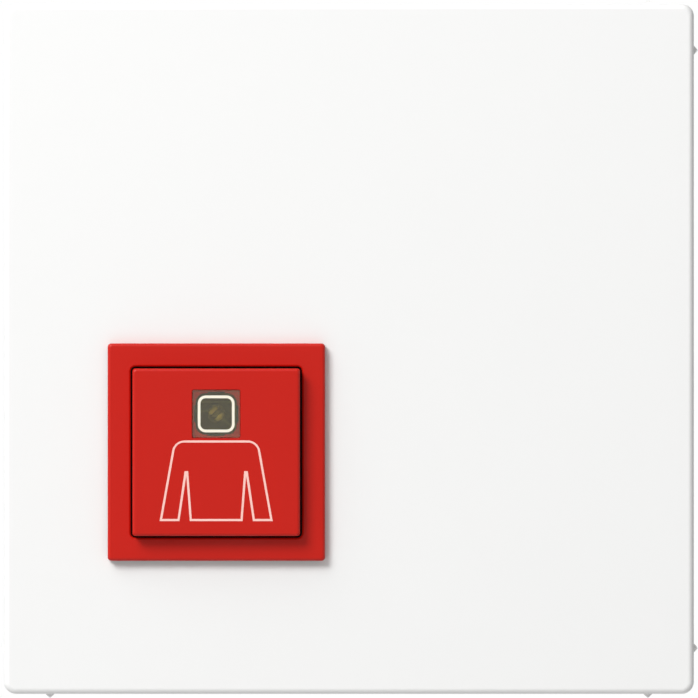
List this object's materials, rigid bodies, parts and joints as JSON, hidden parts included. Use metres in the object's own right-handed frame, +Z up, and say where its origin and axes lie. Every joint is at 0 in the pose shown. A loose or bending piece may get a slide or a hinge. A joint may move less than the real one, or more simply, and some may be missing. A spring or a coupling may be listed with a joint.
{
  "type": "emergency call button panel",
  "caption": "Emergency call button: a hinged square red push cap with a clear lamp window in a red frame, set low in a square white cover panel, with a wired insert behind.",
  "frame": {"origin": "middle of the cover panel on the wall plane, at the end of the panel's middle stud", "axes": "+X to the right seen from the front, +Y into the wall, +Z up"},
  "size_m": [0.2298, 0.0344, 0.2298],
  "materials": {
    "white_plastic": "satin moulded",
    "red_plastic": "satin moulded",
    "clear_plastic": "polished clear",
    "zinc_steel": "zinc plated",
    "spring_steel": "drawn wire",
    "tinned_metal": "tinned",
    "grey_plastic": "matt moulded",
    "black_plastic": "matt moulded",
    "plunger_plastic": "moulded",
    "green_plastic": "moulded",
    "board_laminate": "solder resist on glass laminate",
    "resistor_paint": "painted"
  },
  "bodies": {
    "panel": {"cover_plate": "white_plastic", "button_frame": "red_plastic", "support_ring": "zinc_steel", "ring_screw_1": "zinc_steel", "ring_screw_2": "zinc_steel", "ring_screw_3": "zinc_steel", "ring_screw_4": "zinc_steel", "insert_housing": "grey_plastic", "housing_cover": "grey_plastic", "circuit_board": "board_laminate", "board_screw_1": "zinc_steel", "board_screw_2": "zinc_steel", "switch_1": "black_plastic", "switch_2": "black_plastic", "return_spring_1": "spring_steel", "return_spring_2": "spring_steel", "led_lens": "clear_plastic", "led_cathode": "tinned_metal", "led_anode": "tinned_metal", "resistor": "resistor_paint", "terminal_header": "green_plastic", "terminal_plug": "green_plastic", "terminal_screw_1": "zinc_steel", "terminal_screw_2": "zinc_steel", "terminal_screw_3": "zinc_steel", "terminal_screw_4": "zinc_steel"},
    "call_cap": {"call_button": "red_plastic", "window_lens": "clear_plastic"},
    "left_plunger": {"plunger_1": "plunger_plastic"},
    "right_plunger": {"plunger_2": "plunger_plastic"}
  },
  "joints": [
    {"name": "call_press", "type": "hinge", "parent": "panel", "child": "call_cap", "pos_m": [-0.0436, -0.0143, -0.0129], "axis": [1, 0, 0], "range_deg": [0, 2], "stiffness_Nm_per_rad": 1.1, "springref_deg": -1.72, "deforming": ["return_spring_1", "return_spring_2"]},
    {"name": "plunger_1_slide", "type": "slide", "parent": "panel", "child": "left_plunger", "axis": [0, 1, 0], "range_m": [0, 0.00105]},
    {"name": "plunger_2_slide", "type": "slide", "parent": "panel", "child": "right_plunger", "axis": [0, 1, 0], "range_m": [0, 0.00105]}
  ],
  "couplings": [
    {"joint": "plunger_1_slide", "follows": "call_press", "m_per_rad": 0.03},
    {"joint": "plunger_2_slide", "follows": "call_press", "m_per_rad": 0.03}
  ]
}
